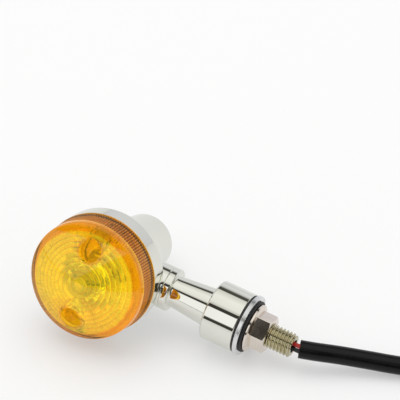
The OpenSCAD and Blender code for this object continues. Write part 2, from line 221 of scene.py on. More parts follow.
# Fine handling marks: a patchy mask, and a height made of much finer grain.
marks, takes, gives = new_group(
    "handling_marks", "ShaderNodeTree",
    [("Place", "NodeSocketVector", None), ("Patch Scale", "NodeSocketFloat", 60.0),
     ("Grain Scale", "NodeSocketFloat", 900.0)],
    [("Mask", "NodeSocketFloat"), ("Height", "NodeSocketFloat")])
patches = step(marks, "ShaderNodeTexNoise", {
    "Vector": takes.outputs["Place"], "Scale": takes.outputs["Patch Scale"],
    "Detail": 4.0, "Roughness": 0.6})
grain = step(marks, "ShaderNodeTexNoise", {
    "Vector": takes.outputs["Place"], "Scale": takes.outputs["Grain Scale"],
    "Detail": 3.0, "Roughness": 0.55})
patch_mask = step(marks, "ShaderNodeMapRange", {
    "Value": patches.outputs["Fac"], "From Min": 0.35, "From Max": 0.68})
marks.links.new(patch_mask.outputs["Result"], gives.inputs["Mask"])
marks.links.new(grain.outputs["Fac"], gives.inputs["Height"])

# Rubbed edges: convex edges in broken patches.
rubbed, takes, gives = new_group(
    "rubbed_edges", "ShaderNodeTree",
    [("Place", "NodeSocketVector", None), ("Scale", "NodeSocketFloat", 300.0),
     ("Amount", "NodeSocketFloat", 0.6)],
    [("Mask", "NodeSocketFloat")])
sharpness = step(rubbed, "ShaderNodeMapRange", {
    "Value": step(rubbed, "ShaderNodeNewGeometry", {}).outputs["Pointiness"],
    "From Min": 0.505, "From Max": 0.56})
breaks = step(rubbed, "ShaderNodeMapRange", {
    "Value": step(rubbed, "ShaderNodeTexNoise", {
        "Vector": takes.outputs["Place"], "Scale": takes.outputs["Scale"],
        "Detail": 5.0}).outputs["Fac"], "From Min": 0.4, "From Max": 0.6})
worn = step(rubbed, "ShaderNodeMath", {
    0: sharpness.outputs["Result"], 1: breaks.outputs["Result"]}, operation="MULTIPLY")
worn = step(rubbed, "ShaderNodeMath", {
    0: worn.outputs[0], 1: takes.outputs["Amount"]}, operation="MULTIPLY")
rubbed.links.new(worn.outputs[0], gives.inputs["Mask"])


def finish(name, colour, patch_colour, worn_colour, roughness, patch_roughness,
           patch_scale=60.0, grain_scale=900.0, grain=0.01, wear=0.4,
           stretch=(1.0, 1.0, 1.0), turn=(0.0, 0.0, 0.0), **shader):
    """A material with handling marks, grain and rubbed edges over a Principled shader.
    The grain is its height in millimetres; shader holds the plain socket values."""
    made = bpy.data.materials.new(name)
    made.use_nodes = True
    tree = made.node_tree
    tree.nodes.clear()
    place = step(tree, "ShaderNodeMapping", {
        "Vector": step(tree, "ShaderNodeTexCoord", {}).outputs["Object"],
        "Rotation": turn, "Scale": stretch}).outputs["Vector"]
    spread = step(tree, "ShaderNodeGroup", {}, node_tree=marks)
    tree.links.new(place, spread.inputs["Place"])
    spread.inputs["Patch Scale"].default_value = patch_scale
    spread.inputs["Grain Scale"].default_value = grain_scale
    edge = step(tree, "ShaderNodeGroup", {}, node_tree=rubbed)
    tree.links.new(place, edge.inputs["Place"])
    edge.inputs["Amount"].default_value = wear
    base = blended(tree, spread.outputs["Mask"], colour, patch_colour)
    edged = blended(tree, edge.outputs["Mask"], base, worn_colour)
    dull = step(tree, "ShaderNodeMapRange", {
        "Value": spread.outputs["Mask"], "To Min": roughness, "To Max": patch_roughness})
    bump = step(tree, "ShaderNodeBump", {
        "Height": spread.outputs["Height"], "Distance": grain * MM, "Strength": 1.0})
    surface = step(tree, "ShaderNodeBsdfPrincipled", {
        "Base Color": edged, "Roughness": dull.outputs["Result"],
        "Normal": bump.outputs["Normal"], **shader})
    output = tree.nodes.new("ShaderNodeOutputMaterial")
    tree.links.new(surface.outputs["BSDF"], output.inputs["Surface"])
    return made


sleeve_vinyl = finish("sleeve_vinyl", (0.004, 0.004, 0.0045), (0.007, 0.007, 0.0075),
                      (0.012, 0.012, 0.012), 0.2, 0.3, patch_scale=120, grain_scale=1500,
                      grain=0.02, wear=0.0, **{"Specular IOR Level": 0.22})
red_vinyl = finish("red_vinyl", (0.55, 0.012, 0.010), (0.42, 0.010, 0.010),
                   (0.6, 0.05, 0.04), 0.28, 0.4, patch_scale=200, grain=0.02)
black_vinyl = finish("black_vinyl", (0.012, 0.012, 0.012), (0.02, 0.02, 0.02),
                     (0.04, 0.04, 0.04), 0.28, 0.42, patch_scale=200, grain=0.02)

# The two wires come out of the sleeve's inner end, part, and lie beside each other
# inside the coil. Each is crimped in a brass bullet with a clear vinyl boot.
wire_radius = 0.9
wire_rounding = 0.12         # of the edges of its ends
wire_end = [(0, 0), (0, wire_radius - wire_rounding), (wire_rounding, wire_radius),
            (0, wire_radius)]
wires_in_sleeve = 0.982      # share of the coil where the drawn wires begin
into_crimp = 3.0             # how far a wire reaches into its bullet
red_run = [(188.9, -6.1, 3.8), (189.8, -11.0, 3.5), (189.0, -16.0, 2.6),
           (185.9, -19.5, 1.8), (181.7, -21.8, 1.3), (176.9, -22.8, 1.7),
           (172.1, -22.4, 2.4), (167.3, -21.4, 2.4)]
black_run = [(190.8, -5.7, 3.8), (192.0, -11.1, 3.4), (191.9, -16.8, 2.4),
             (189.7, -22.2, 1.6), (186.2, -26.5, 1.3), (181.8, -29.2, 1.7),
             (176.7, -29.8, 2.4), (171.8, -29.5, 2.4)]
brass = finish("stamped_brass", (0.78, 0.53, 0.22), (0.66, 0.42, 0.16), (0.9, 0.68, 0.34),
               0.22, 0.4, patch_scale=250, grain=0.02, Metallic=1.0)
clear_vinyl = finish("clear_vinyl", (0.93, 0.93, 0.90), (0.88, 0.88, 0.84), (1, 1, 1),
                     0.22, 0.35, patch_scale=250, grain=0.03,
                     **{"Transmission Weight": 0.9, "IOR": 1.48})


arc_step = math.radians(12)  # the most that one face of a fillet turns
longest_lead = 0.06
most_of_side = 0.47          # the share of a side that one fillet may take


def rounded(outline, closed):
    """The outline's corners (r, z, fillet) as points (r, z), each fillet an arc with a
    short straight lead on both sides that keeps the shading of the faces beside it."""
    count = len(outline)
    points = []
    for i, (r, z, fillet) in enumerate(outline):
        here = Vector((r, z))
        if fillet <= 0 or (not closed and i in (0, count - 1)):
            points.append(here)
            continue
        back = Vector(outline[i - 1][:2]) - here
        on = Vector(outline[(i + 1) % count][:2]) - here
        half = back.angle(on) / 2
        cut = min(fillet / math.tan(half), most_of_side * back.length,
                  most_of_side * on.length)
        radius = cut * math.tan(half)
        back.normalize()
        on.normalize()
        middle = here + (back + on).normalized() * (radius / math.sin(half))
        start, end = here + back * cut - middle, here + on * cut - middle
        lead = min(longest_lead, 0.1 * cut)
        arc = start.angle_signed(end)
        pieces = max(3, math.ceil(abs(arc) / arc_step))
        points.append(here + back * (cut + lead))
        for k in range(pieces + 1):
            turned_by = Matrix.Rotation(-arc * k / pieces, 2)
            points.append(middle + turned_by @ start)
        points.append(here + on * (cut + lead))
    return [(max(p.x, 0.0), p.y) for p in points]


def turned(name, outline, around=160, closed=True):
    """A turned shape about Z from its outline (r, z, fillet), in millimetres."""
    line = rounded(outline, closed)
    form = bmesh.new()
    loops = []
    for r, z in line:
        if r < 1e-6:
            loops.append([form.verts.new((0, 0, z))])
        else:
            loops.append([form.verts.new((r * math.cos(2 * math.pi * k / around),
                                          r * math.sin(2 * math.pi * k / around), z))
                          for k in range(around)])
    for a, b in zip(loops, loops[1:] + (loops[:1] if closed else [])):
        for k in range(around):
            n = (k + 1) % around
            if len(a) == 1 and len(b) == 1:
                continue
            if len(a) == 1:
                form.faces.new((a[0], b[k], b[n]))
            elif len(b) == 1:
                form.faces.new((a[k], b[0], a[n]))
            else:
                form.faces.new((a[k], b[k], b[n], a[n]))
    bmesh.ops.recalc_face_normals(form, faces=form.faces)
    mesh = bpy.data.meshes.new(name)
    form.to_mesh(mesh)
    form.free()
    return mesh


def settle(mesh, place, material=None, sharp=32):
    """Moves a finished mesh to its place, smooths it and gives it its material."""
    mesh.transform(place)
    mesh.shade_smooth()
    mesh.set_sharp_from_angle(angle=math.radians(sharp))
    if material is not None:
        mesh.materials.clear()
        mesh.materials.append(material)
    return mesh


def joined(name, meshes):
    """One mesh of several that are already in place."""
    form = bmesh.new()
    for mesh in meshes:
        form.from_mesh(mesh)
    mesh = bpy.data.meshes.new(name)
    form.to_mesh(mesh)
    form.free()
    return mesh


sleeve = new_piece("sleeve_tube", tube_mesh("sleeve_tube", sleeve_line, open_end, 32),
                   "mount", "black_sleeve", "cable_sleeve", "cable_coil")
sleeve.data.materials.append(sleeve_vinyl)

boot_outline = [(1.05, 0.0, 0.1), (1.5, 0.0, 0.2), (2.3, 1.6, 0.5), (2.3, 9.0, 0.15),
                (1.98, 9.0, 0.1), (1.98, 1.9, 0.4), (1.05, 1.0, 0.1)]
bullet_outline = [(0, 3.0, 0), (1.5, 3.0, 0.2), (1.7, 8.6, 0.2), (1.35, 9.2, 0.3),
                  (1.95, 10.0, 0.4), (1.95, 15.4, 0.5), (1.45, 16.1, 0.35),
                  (1.95, 16.9, 0.5), (1.95, 18.2, 1.2), (1.2, 20.0, 0.8), (0, 20.0, 0)]
for colour, run, reach, vinyl, slot in (
        ("red", red_run, -1.0, red_vinyl, "red_wire"),
        ("black", black_run, 1.0, black_vinyl, "black_wire")):
    inside = coil_point(wires_in_sleeve)
    outward = (inside - coil_middle).normalized()
    way = Vector(run[-1]) - Vector(run[-2])
    crimp = (Matrix.Translation(Vector(run[-1]) * MM)
             @ way.to_track_quat("Z", "Y").to_matrix().to_4x4() @ Matrix.Scale(MM, 4))
    line = smooth_line([inside + outward * reach] + run
                       + [Vector(run[-1]) + way.normalized() * into_crimp], 1.5)
    wire = new_piece("tail_" + colour, tube_mesh("tail_" + colour, line, wire_end, 16),
                     "mount", slot, "tail_wire_" + colour)
    wire.data.materials.append(vinyl)
    boot = new_piece("boot_" + colour, settle(turned("boot_" + colour, boot_outline, 48),
                                              crimp, clear_vinyl), "mount",
                     "clear_sleeve", "terminal_sleeves")
    bullet = new_piece(
        "bullet_" + colour, settle(turned("bullet_" + colour, bullet_outline, 48, False),
                                   crimp, brass), "mount", "brass", "bullet_terminals")
    line_length(line) * MM
    [p * MM for p in line]

line_length(sleeve_line) * MM
[p * MM for p in sleeve_line]

# Housing
# A zinc die casting, polished and chromed all over: the bowl that takes the lens, a cone,
# a long tapered tail, and at the side the boss that the stem's spigot turns in.
to_stem = Matrix.Translation((0, 0, -14.35)) @ Matrix.Rotation(math.radians(90), 4, "Y")
stem_frame = lamp_frame @ to_stem
bowl_radius, bowl_depth = 25.0, 8.6
boss_radius, boss_end = 9.0, 25.5
spigot_bore, counterbore, counterbore_end = 4.55, 7.6, 14.8
screw_offset = 15.2


def cut(base, tool, operation):
    """The mesh of base after a boolean with tool; both meshes are used up."""
    holder = bpy.data.objects.new("cut_base", base)
    other = bpy.data.objects.new("cut_tool", tool)
    for part in (holder, other):
        bpy.context.scene.collection.objects.link(part)
    modifier = holder.modifiers.new("cut", "BOOLEAN")
    modifier.operation = operation
    modifier.object = other
    modifier.solver = "MANIFOLD"
    ready = holder.evaluated_get(bpy.context.evaluated_depsgraph_get())
    result = bpy.data.meshes.new_from_object(ready)
    result.name = base.name
    for part in (holder, other):
        bpy.data.objects.remove(part)
    return result


def moved(mesh, place):
    """A mesh after its transform by the matrix place."""
    mesh.transform(place)
    return mesh


def at_screws(name, outline, around):
    """A turned shape at each of the two screws, as one mesh."""
    return joined(name, [moved(turned(name, outline, around, False),
                               Matrix.Translation((0, side * screw_offset, 0)))
                         for side in (-1, 1)])


shell = turned("housing_shell", [
    (0, -47.2, 0), (11.15, -47.2, 0.5), (12.0, -45.5, 0.9), (16.0, -18.0, 7.0),
    (bowl_radius, -bowl_depth, 3.0), (bowl_radius, 0, 0.3), (23.2, 0, 0.15),
    (23.2, -1.0, 0), (21.7, -1.0, 0.1), (21.7, -bowl_depth, 1.5), (14.2, -18.0, 3.0),
    (10.2, -43.5, 1.0), (0, -43.5, 0)], 240, False)
solid = turned("housing_solid", [
    (0, -46.0, 0), (10.5, -46.0, 0), (14.9, -18.0, 6.0), (23.6, -bowl_depth, 2.5),
    (23.6, -2.0, 0), (0, -2.0, 0)], 120, False)
boss = moved(turned("boss", [(0, 0, 0), (boss_radius, 0, 0), (boss_radius, boss_end, 0.5),
                             (0, boss_end, 0)], 160, False), to_stem)
inner_boss = moved(turned("inner_boss", [
    (0, counterbore_end, 0), (8.0, counterbore_end, 0), (8.0, 25.0, 0), (0, 25.0, 0)],
    64, False), to_stem)
posts = at_screws("posts", [(0, -17.0, 0), (3.0, -17.0, 0), (3.0, -2.2, 0.2),
                            (0, -2.2, 0)], 32)
cavity = turned("cavity", [
    (0, -43.5, 0), (10.2, -43.5, 1.0), (14.2, -18.0, 3.0), (21.7, -bowl_depth, 1.5),
    (21.7, -1.5, 0), (0, -1.5, 0)], 240, False)
boss = cut(boss, cavity, "DIFFERENCE")
inner_boss = cut(inner_boss, solid, "INTERSECT")
casting = cut(cut(cut(shell, boss, "UNION"), inner_boss, "UNION"), posts, "UNION")
bore = moved(turned("bore", [
    (0, 9.0, 0), (counterbore, 9.0, 0), (counterbore, counterbore_end, 0),
    (spigot_bore, counterbore_end, 0), (spigot_bore, 27.0, 0), (0, 27.0, 0)],
    96, False), to_stem)
casting = cut(casting, bore, "DIFFERENCE")
chrome = finish("polished_chrome", (0.87, 0.87, 0.81), (0.83, 0.83, 0.77),
                (0.78, 0.78, 0.75), 0.02, 0.045, patch_scale=45, grain_scale=260,
                grain=0.0012, wear=0.25, Metallic=1.0)
new_piece("housing_casting", settle(casting, lamp_frame, chrome, 25), "head", "chrome",
          "housing")

# Lens
# Amber polycarbonate, moulded in one piece: a finely ribbed side, a smooth front ring, a
# clear dome with stepped rings on its inside, and two deep wells for the screws.
front_radius, front_height = 24.4, 12.0      # of the corner between side and dome
dome_radius, dome_middle = 42.9683, -23.3683
lens_wall = 2.2
side_bottom_radius, side_taper = 25.0, 0.052  # the side narrows towards the front
rib_count, rib_depth, rib_end, flute_end = 140, 0.5, 9.0, 10.0
wall_middle = 23.6          # parts the outside of the side wall from its inside
flute_radius = 22.0         # the wall's inside lies beyond it, the rings within it
rib_start = 0.5             # how far above the seam the ribs begin


def dome_height(r, inset=0.0):
    """The height of the dome over the radius r, or of a surface inset below it."""
    return math.sqrt((dome_radius - inset) ** 2 - r * r) + dome_middle


outside = [(25.0, 0.0, 0), (25.0, 0.35, 0), (24.985, 0.6, 0), (24.97, 1.0, 0),
           (24.85, 3.0, 0), (24.72, 5.4, 0), (24.68, 6.2, 0), (24.66, 6.7, 0),
           (24.62, 7.6, 0), (24.56, 8.8, 0), (24.54, 9.2, 0),
           (front_radius, front_height, 1.6)]
outside += [(r, dome_height(r), 0) for r in
            (23.0, 22.0, 21, 20, 18.5, 17, 15, 13, 11, 9, 7, 5, 3.4, 2, 1)] + [(0, 19.6, 0)]
ring_start, ring_pitch, ring_step, ring_count = 3.2, 1.9, 0.75, 9
rings_end = 20.6            # radius where the dome's inside turns into the side wall
inside = [(0, dome_height(0, lens_wall), 0), (1.5, dome_height(1.5, lens_wall), 0)]
for ring in range(ring_count):
    r = ring_start + ring * ring_pitch
    inside += [(r, dome_height(r, lens_wall), 0),
               (r + 0.12, dome_height(r, lens_wall) - ring_step, 0),
               (r + 0.5 * ring_pitch,
                dome_height(r + 0.5 * ring_pitch, lens_wall) - 0.35 * ring_step, 0)]
inside += [(rings_end, dome_height(rings_end, lens_wall), 0), (21.4, 10.9, 0), (22.1, 9.6, 0),
           (22.3, 8.6, 0), (22.45, 6.0, 0), (22.6, 3.5, 0), (22.7, 1.2, 0), (22.8, 0.5, 0),
           (22.8, 0.0, 0)]


def rim_closed(mesh):
    """A turned shell of two walls, after a ring of faces joins their open rims."""
    form = bmesh.new()
    form.from_mesh(mesh)
    open_edges = [edge for edge in form.edges if len(edge.link_faces) == 1]
    bmesh.ops.bridge_loops(form, edges=open_edges)
    bmesh.ops.recalc_face_normals(form, faces=form.faces)
    form.to_mesh(mesh)
    form.free()
    return mesh


lens_mesh = rim_closed(turned("lens_shell", outside + inside, rib_count * 6, closed=False))


class Reading:
    """A number that a node gives. The plain operators add Math nodes behind it."""

    def __init__(self, tree, socket):
        self.tree, self.socket = tree, socket

    def through(self, operation, *others):
        """The number after a Math node, whose other inputs are numbers or readings."""
        made = step(self.tree, "ShaderNodeMath", dict(enumerate((self, *others))),
                    operation=operation)
        return Reading(self.tree, made.outputs[0])

    def spread(self, low, high):
        """0 at low, 1 at high, and a straight line between them."""
        made = step(self.tree, "ShaderNodeMapRange", {
            "Value": self, "From Min": low, "From Max": high})
        return Reading(self.tree, made.outputs["Result"])

    def __add__(self, other):
        return self.through("ADD", other)

    def __sub__(self, other):
        return self.through("SUBTRACT", other)

    def __rsub__(self, other):
        return self.through("MULTIPLY", -1.0).through("ADD", other)

    def __mul__(self, other):
        return self.through("MULTIPLY", other)

    def __truediv__(self, other):
        return self.through("DIVIDE", other)

    def __abs__(self):
        return self.through("ABSOLUTE")

    def __lt__(self, other):
        return self.through("LESS_THAN", other)

    def __gt__(self, other):
        return self.through("GREATER_THAN", other)


def size_tree(name, sizes):
    """A geometry tree with named sizes, with what comes in at its start and its end."""
    takes = [("Geometry", "NodeSocketGeometry", None)]
    takes += [(label, "NodeSocketInt" if isinstance(size, int) else "NodeSocketFloat", size)
              for label, size in sizes.items()]
    tree, start, end = new_group(
        name, "GeometryNodeTree", takes + [("Material", "NodeSocketMaterial", None)],
        [("Geometry", "NodeSocketGeometry")])
    return tree, {socket.name: Reading(tree, socket)
                  for socket in start.outputs if socket.name}, end


def place_of(tree):
    """The three parts of a point's place."""
    place = step(tree, "GeometryNodeInputPosition", {})
    parts = step(tree, "ShaderNodeSeparateXYZ", {"Vector": place.outputs[0]})
    return [Reading(tree, part) for part in parts.outputs]


def length_of(x, y):
    return (x * x + y * y).through("SQRT")


def give_plain(tree, geometry, given, end):
    """Ends a tree: it gives the geometry as a plain mesh in its material."""
    whole = step(tree, "GeometryNodeRealizeInstances", {"Geometry": geometry})
    coated = step(tree, "GeometryNodeSetMaterial", {
        "Geometry": whole.outputs[0], "Material": given["Material"]})
    tree.links.new(coated.outputs[0], end.inputs["Geometry"])


# The ribs are made by a tree that moves the side's points in and out around the axis.
rib_sizes = {
    "Rib Count": rib_count, "Outer Depth": rib_depth, "Inner Depth": rib_depth,
    "Rib Start": rib_start, "Rib End": rib_end, "Flute End": flute_end,
    "Wall Middle": wall_middle}
ribs, given, end = size_tree("lens_ribs", rib_sizes)
x, y, z = place_of(ribs)
above_zero = 1000.0417      # keeps the turn positive, and sets the first rib's place
turned_at = y.through("ARCTAN2", x) / (2 * math.pi)
phase = (turned_at * given["Rib Count"] + above_zero).through("FRACT")
# 1 on a rib's crest and 0 at the bottom of the groove between two ribs
ridge = (abs(phase - 0.5) * 2.0).spread(0.05, 0.95)
radius = length_of(x, y)
outer = radius > given["Wall Middle"]
above = z > given["Rib Start"]
rib_zone = outer * above * (z < given["Rib End"])
flute_zone = (1.0 - outer) * (radius > flute_radius) * above * (z < given["Flute End"])
inward = (rib_zone * given["Outer Depth"] + flute_zone * given["Inner Depth"]) * ridge
out_way = step(ribs, "ShaderNodeVectorMath", {0: step(
    ribs, "ShaderNodeCombineXYZ", {"X": x, "Y": y}).outputs[0]}, operation="NORMALIZE")
shift = step(ribs, "ShaderNodeVectorMath", {
    0: out_way.outputs[0], "Scale": inward * -1.0}, operation="SCALE")
ribbed = step(ribs, "GeometryNodeSetPosition", {
    "Geometry": given["Geometry"], "Offset": shift.outputs[0]})
give_plain(ribs, ribbed.outputs[0], given, end)


def shaped(mesh, tree, values):
    """The plain mesh that a geometry tree makes of a mesh, its inputs set by name."""
    holder = bpy.data.objects.new("shaped", mesh)
    bpy.context.scene.collection.objects.link(holder)
    modifier = holder.modifiers.new("shaped", "NODES")
    modifier.node_group = tree
    for item in tree.interface.items_tree:
        if item.in_out == "INPUT" and item.name in values:
            modifier[item.identifier] = values[item.name]
    ready = holder.evaluated_get(bpy.context.evaluated_depsgraph_get())
    result = bpy.data.meshes.new_from_object(ready)
    result.name = mesh.name
    bpy.data.objects.remove(holder)
    return result


# The lens also glows faintly (emission strength 0.09). This is painted light, because the
# plastic is no lamp.
amber = finish("amber_polycarbonate", (1.0, 0.72, 0.10), (1.0, 0.70, 0.09),
               (1.0, 0.74, 0.12), 0.015, 0.04, patch_scale=70, grain_scale=500,
               grain=0.001, wear=0.0,
               **{"Transmission Weight": 1.0, "IOR": 1.45,
                  "Emission Strength": 0.09})
# A ramp takes the place of the plain colours and paints in the shade that light passing
# through the lens would give: deeper amber in the rim, the inner side wall and the walls of
# the wells, a darkening that fades across each ring from its step, and near-black painted
# shade at the bottoms of the grooves.
amber_tree = amber.node_tree
lens_shade_ramp = step(amber_tree, "ShaderNodeValToRGB", {
    "Fac": step(amber_tree, "ShaderNodeAttribute", {},
                attribute_name="painted_lens_shade").outputs["Fac"]})
amber_shade_stops = [(0.0, (1.0, 0.97, 0.10)), (0.3, (1.0, 0.915, 0.065)),
                (0.5, (0.86, 0.36, 0.015)), (1.0, (0.10, 0.02, 0.001))]


def set_ramp(ramp, stops):
    """Gives a colour ramp its stops (position, colour)."""
    while len(ramp.elements) < len(stops):
        ramp.elements.new(0.5)
    for element, (position, shade) in zip(ramp.elements, stops):
        element.position = position
        element.color = (*shade, 1)


set_ramp(lens_shade_ramp.color_ramp, amber_shade_stops)
# The ramp colours both the surface and its faint emission, which is a painted glow.
for socket in ("Base Color", "Emission Color"):
    amber_tree.links.new(lens_shade_ramp.outputs["Color"],
                         amber_tree.nodes["Principled BSDF"].inputs[socket])
lens_mesh = shaped(lens_mesh, ribs, {**rib_sizes, "Material": amber})
under_skin = 0.35           # how far the wells stay below the dome's outside
core = turned("lens_core", [(0, -2.5, 0), (24.0, -2.5, 0), (24.0, 10.5, 0)]
              + [(r, dome_height(r, under_skin), 0)
                 for r in (23.4, 21, 18, 15, 12, 9, 6, 3, 0)], 120, False)
tubes = at_screws("wells", [(0, -1.2, 0), (5.6, -1.2, 0.3), (5.6, 20.0, 0), (0, 20.0, 0)],
                  72)
pockets = at_screws("pockets", [
    (0, -3.0, 0), (1.8, -3.0, 0), (1.8, 1.0, 0.1), (4.45, 1.0, 0.35), (4.45, 3.2, 0),
    (4.6, 3.4, 0.1), (4.6, 24.0, 0), (0, 24.0, 0)], 72)
lens_mesh = cut(lens_mesh, cut(tubes, core, "INTERSECT"), "UNION")
lens_mesh = cut(lens_mesh, pockets, "DIFFERENCE")
rim_shade, wall_shade, well_shade, ring_shade, rib_crest_shade = 0.56, 0.37, 0.42, 0.5, 0.75
well_edge = 6.2             # where the deeper colour round a well ends
ring_lip = 0.03             # the share of a ring that its steep step takes


def faded(value, width):
    """0 below zero, 1 from the width on, and a straight rise between."""
    return min(max(value / width, 0), 1)


# Painted shade for each point of the lens, which the ramp turns into colour.
painted_lens_shade = lens_mesh.attributes.new("painted_lens_shade", "FLOAT", "POINT")
for vertex, stored in zip(lens_mesh.vertices, painted_lens_shade.data):
    px, py, pz = vertex.co
    r = math.hypot(px, py)
    is_inside = pz < dome_height(r, 0.5 * lens_wall)
    rim_share = faded(r - rings_end, 0.8)
    well_share = faded(well_edge - math.hypot(px, abs(py) - screw_offset), 0.6)
    ring_at = (r - ring_start) / ring_pitch
    ring_step_shade = 0
    if 0 < ring_at < ring_count and is_inside and ring_at % 1 > ring_lip:
        ring_step_shade = 1 - ring_at % 1
    stored.value = max(rim_shade * rim_share, well_shade * well_share,
                       ring_shade * ring_step_shade)
    if is_inside and r > rings_end:
        stored.value = wall_shade
    # Painted shade: the side's grooves go from the crests' deep orange to near black.
    if r > wall_middle and 0.45 < pz < rib_end:
        groove = faded(side_bottom_radius - side_taper * pz - r, 0.4)
        stored.value = rib_crest_shade + (1 - rib_crest_shade) * groove
new_piece("amber_lens", settle(lens_mesh, lamp_frame, amber, 28), "head",
          "amber_plastic", "lens")

# Lens screws
# Two M3 pan-head screws of zinc-plated steel with a cross recess. They lie deep in the
# wells and hold lens and reflector to the posts in the bowl.
screw = turned("screw", [
    (0, -12.0, 0), (1.1, -12.0, 0.1), (1.5, -11.4, 0), (1.5, 1.0, 0), (2.9, 1.0, 0.15),
    (2.9, 2.2, 0.5), (1.6, 3.0, 0.6), (0, 3.0, 0)], 64, False)
for quarter in (0, 90):
    blade = bmesh.new()
    bmesh.ops.create_cube(blade, size=1.0, matrix=Matrix.Rotation(
        math.radians(quarter), 4, "Z") @ Matrix.Translation((0, 0, 3.0))
        @ Matrix.Diagonal((3.4, 0.75, 2.0, 1)))
    slot = bpy.data.meshes.new("slot")
    blade.to_mesh(slot)
    blade.free()
    screw = cut(screw, slot, "DIFFERENCE")
pair, given, end = size_tree("screw_pair", {"Offset": screw_offset})
spots = step(pair, "GeometryNodeMeshLine", {
    "Count": 2,
    "Start Location": step(pair, "ShaderNodeCombineXYZ", {
        "Y": given["Offset"] * -1.0}).outputs[0],
    "Offset": step(pair, "ShaderNodeCombineXYZ", {
        "Y": given["Offset"] * 2.0}).outputs[0]})
copies = step(pair, "GeometryNodeInstanceOnPoints", {
    "Points": spots.outputs[0], "Instance": given["Geometry"]})
give_plain(pair, copies.outputs[0], given, end)
zinc = finish("bright_zinc", (0.76, 0.77, 0.78), (0.66, 0.68, 0.70), (0.85, 0.85, 0.85),
              0.2, 0.36, patch_scale=300, grain=0.02, Metallic=1.0)
new_piece("lens_screw_pair", settle(shaped(screw, pair, {
    "Offset": screw_offset, "Material": zinc}), lamp_frame, zinc),
    "head", "zinc_steel", "lens_screws")

# Reflector
# White styrene with a bright metallised face, pressed with small pyramids that scatter
# the light. The wells of the lens clamp it on the posts, and its cup holds the socket.
reflector_mesh = turned("reflector", [
    (11.7, -1.2, 0.3), (21.4, -1.2, 0.2), (21.4, -2.2, 0.1), (11.7, -2.2, 0.3),
    (11.3, -7.7, 0), (9.1, -7.7, 0), (9.1, -6.7, 0.1), (10.1, -6.7, 0.3)], 160)
pebble_sizes = {
    "Pitch": 1.25, "Height": 0.8, "Inner Radius": 12.4, "Outer Radius": 21.0,
    "Seat": -1.22, "Hole Offset": screw_offset, "Hole Radius": 6.2}
pebbles, given, end = size_tree("reflector_pebbles", pebble_sizes)
field_size = given["Outer Radius"] * 2.0
field_count = field_size / given["Pitch"]
field = step(pebbles, "GeometryNodeMeshGrid", {
    "Size X": field_size, "Size Y": field_size, "Vertices X": field_count,
    "Vertices Y": field_count})
x, y, z = place_of(pebbles)
radius = length_of(x, y)
from_hole = length_of(x, abs(y) - given["Hole Offset"])
free = ((radius > given["Inner Radius"]) * (radius < given["Outer Radius"])
        * (from_hole > given["Hole Radius"]))
half_diagonal = 0.69        # of a pyramid's square foot, in pitches
pebble = step(pebbles, "GeometryNodeMeshCone", {
    "Vertices": 4, "Radius Top": 0.0,
    "Radius Bottom": given["Pitch"] * half_diagonal, "Depth": given["Height"]})
lifted = step(pebbles, "GeometryNodeSetPosition", {
    "Geometry": field.outputs[0], "Offset": step(
        pebbles, "ShaderNodeCombineXYZ", {"Z": given["Seat"]}).outputs[0]})
# Each pyramid leans a little its own way, so each one glints apart from its neighbours.
least_tilt, most_tilt = (-0.25, -0.25, 0.6), (0.25, 0.25, 1.0)
tilt = step(pebbles, "FunctionNodeRandomValue", {"Seed": 5}, data_type="FLOAT_VECTOR")
tilt.inputs["Min"].default_value = least_tilt
tilt.inputs["Max"].default_value = most_tilt
scattered = step(pebbles, "GeometryNodeInstanceOnPoints", {
    "Points": lifted.outputs[0], "Selection": free, "Instance": pebble.outputs[0],
    "Rotation": tilt.outputs[0]})
both = step(pebbles, "GeometryNodeJoinGeometry", {})
pebbles.links.new(given["Geometry"].socket, both.inputs[0])
pebbles.links.new(scattered.outputs[0], both.inputs[0])
give_plain(pebbles, both.outputs[0], given, end)
holes = at_screws("holes", [(0, -4, 0), (1.8, -4, 0), (1.8, 1, 0), (0, 1, 0)], 32)
reflector_mesh = cut(reflector_mesh, holes, "DIFFERENCE")
metallised = finish("metallised_styrene", (0.96, 0.96, 0.95), (0.93, 0.93, 0.92),
                    (0.9, 0.9, 0.9), 0.12, 0.3, patch_scale=200, grain=0.02,
                    Metallic=0.4)
new_piece("reflector_plate", settle(shaped(
    reflector_mesh, pebbles, {**pebble_sizes, "Material": metallised}),
    lamp_frame, metallised, 12), "head", "reflector_plastic", "reflector")

# Bulb
# A clear glass ball on a bayonet base of brass, with a tungsten coil on two posts.
ball_radius, glass_wall, ball_middle = 8.4, 0.6, 1.6
ball = [(ball_radius * math.cos(math.radians(a)),
         ball_middle + ball_radius * math.sin(math.radians(a)), 0)
        for a in range(-36, 90, 9)] + [(0, ball_middle + ball_radius, 0)]
bulb_inside = ball_radius - glass_wall
inner_ball = [(0, ball_middle + bulb_inside, 0)] + [
    (bulb_inside * math.cos(math.radians(a)),
     ball_middle + bulb_inside * math.sin(math.radians(a)), 0)
    for a in range(81, -37, -9)]
bulb_outline = ([(6.4, -7.0, 0), (6.4, -4.6, 0.6)] + ball + inner_ball
                + [(5.8, -4.6, 0.6), (5.8, -7.0, 0)])
bulb_mesh = rim_closed(turned("bulb_ball", bulb_outline, 96, False))
clear_glass = finish("clear_bulb_glass", (1.0, 1.0, 1.0), (0.97, 0.98, 0.98),
                     (1, 1, 1), 0.0, 0.02, patch_scale=120, grain=0.0, wear=0.0,
                     **{"Transmission Weight": 1.0, "IOR": 1.47})
new_piece("bulb_ball", settle(bulb_mesh, lamp_frame, clear_glass, 40), "head",
          "clear_glass", "bulb_glass")

